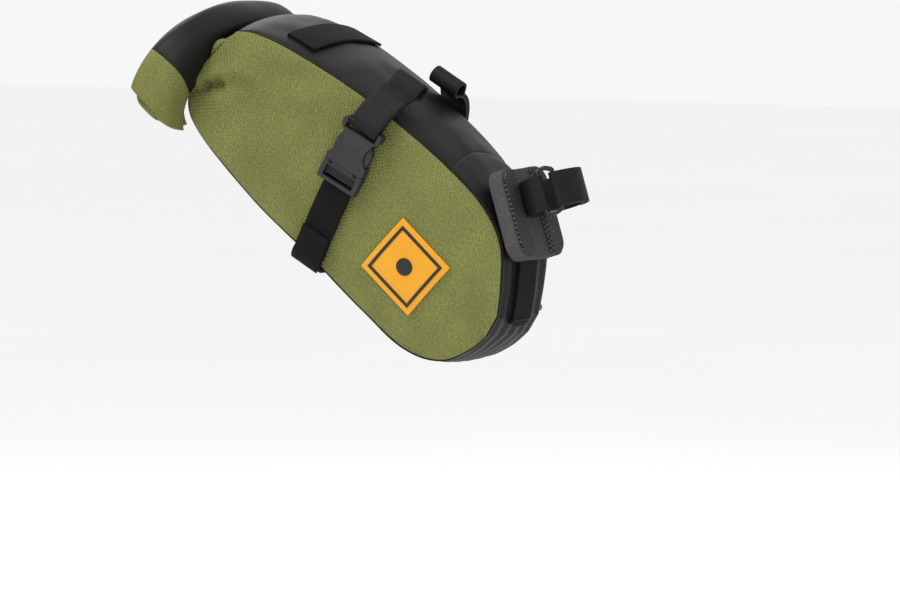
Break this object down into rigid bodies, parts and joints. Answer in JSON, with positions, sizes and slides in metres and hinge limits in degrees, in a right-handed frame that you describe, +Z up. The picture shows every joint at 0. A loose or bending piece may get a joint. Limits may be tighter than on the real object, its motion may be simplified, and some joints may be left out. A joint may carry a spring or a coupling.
{
  "type": "saddle bag",
  "caption": "Roll-top wedge bag hung under a bicycle saddle by rail straps with side-release buckles and a padded seatpost strap.",
  "frame": {"origin": "on the seatpost's axis at the middle of the seatpost strap", "axes": "+X forward along the bicycle, +Y to its left, +Z up"},
  "size_m": [0.2544, 0.1752, 0.2065],
  "materials": {
    "olive_fabric": "coarse woven nylon, matt",
    "coated_fabric": "smooth coated fabric, satin",
    "webbing": "woven webbing, matt",
    "strap_fabric": "coated woven strap, matt",
    "thread": "bonded thread",
    "acetal": "moulded, satin",
    "stiffener_board": "sheet, matt",
    "pad_foam": "foam edge, matt",
    "spacer_mesh": "knitted spacer mesh",
    "hook_and_loop": "hook-and-loop tape",
    "patch_yellow": "soft moulded, satin",
    "patch_dark": "soft moulded, satin"
  },
  "bodies": {
    "bag": {"side_panel_right": "olive_fabric", "side_panel_left": "olive_fabric", "top_panel": "coated_fabric", "front_gusset": "coated_fabric", "bottom_panel": "coated_fabric", "base_stiffener": "stiffener_board", "seam_tape_right": "webbing", "seam_tape_left": "webbing", "neck": "coated_fabric", "roll_centre": "coated_fabric", "roll_end_right": "olive_fabric", "roll_end_left": "olive_fabric", "mouth_stiffener": "stiffener_board", "top_cross_strip": "webbing", "nose_strip": "webbing", "nose_bar_tack": "thread", "girth_webbing": "webbing", "webbing_keepers": "webbing", "buckle_plug_right": "acetal", "buckle_plug_left": "acetal", "pad_foam": "pad_foam", "pad_mesh": "spacer_mesh", "pad_strap": "strap_fabric", "strap_ring": "acetal", "post_strap": "strap_fabric", "loop_tape": "hook_and_loop", "flank_patch": "patch_yellow", "patch_inlay": "patch_dark"},
    "rail_strap_right": {"rail_strap_right": "strap_fabric", "rail_strap_stitches_right": "thread", "buckle_socket_right": "acetal"},
    "rail_strap_left": {"rail_strap_left": "strap_fabric", "rail_strap_stitches_left": "thread", "buckle_socket_left": "acetal"},
    "prong_front_right": {"prong_front_right": "acetal"},
    "prong_rear_right": {"prong_rear_right": "acetal"},
    "prong_front_left": {"prong_front_left": "acetal"},
    "prong_rear_left": {"prong_rear_left": "acetal"},
    "strap_flap": {"strap_flap": "strap_fabric", "hook_tape": "hook_and_loop"}
  },
  "joints": [
    {"name": "buckle_release_right", "type": "slide", "parent": "bag", "child": "rail_strap_right", "axis": [0.5005, -0.0104, 0.8657], "range_m": [0, 0.03]},
    {"name": "front_prong_squeeze_right", "type": "hinge", "parent": "bag", "child": "prong_front_right", "pos_m": [-0.10083, -0.04762, 0.00938], "axis": [0.0976, -0.9929, -0.0683], "range_deg": [0, 6], "stiffness_Nm_per_rad": 0.4},
    {"name": "rear_prong_squeeze_right", "type": "hinge", "parent": "bag", "child": "prong_rear_right", "pos_m": [-0.11563, -0.04966, 0.01791], "axis": [-0.0976, 0.9929, 0.0683], "range_deg": [0, 6], "stiffness_Nm_per_rad": 0.4},
    {"name": "buckle_release_left", "type": "slide", "parent": "bag", "child": "rail_strap_left", "axis": [0.5005, 0.0104, 0.8657], "range_m": [0, 0.03]},
    {"name": "front_prong_squeeze_left", "type": "hinge", "parent": "bag", "child": "prong_front_left", "pos_m": [-0.10083, 0.04762, 0.00938], "axis": [-0.0976, -0.9929, 0.0683], "range_deg": [0, 6], "stiffness_Nm_per_rad": 0.4},
    {"name": "rear_prong_squeeze_left", "type": "hinge", "parent": "bag", "child": "prong_rear_left", "pos_m": [-0.11563, 0.04966, 0.01791], "axis": [0.0976, 0.9929, -0.0683], "range_deg": [0, 6], "stiffness_Nm_per_rad": 0.4},
    {"name": "strap_flap_peel", "type": "hinge", "parent": "bag", "child": "strap_flap", "pos_m": [0.01143, -0.01425, 0.0035], "axis": [0.2924, 0, -0.9563], "range_deg": [0, 110]}
  ]
}
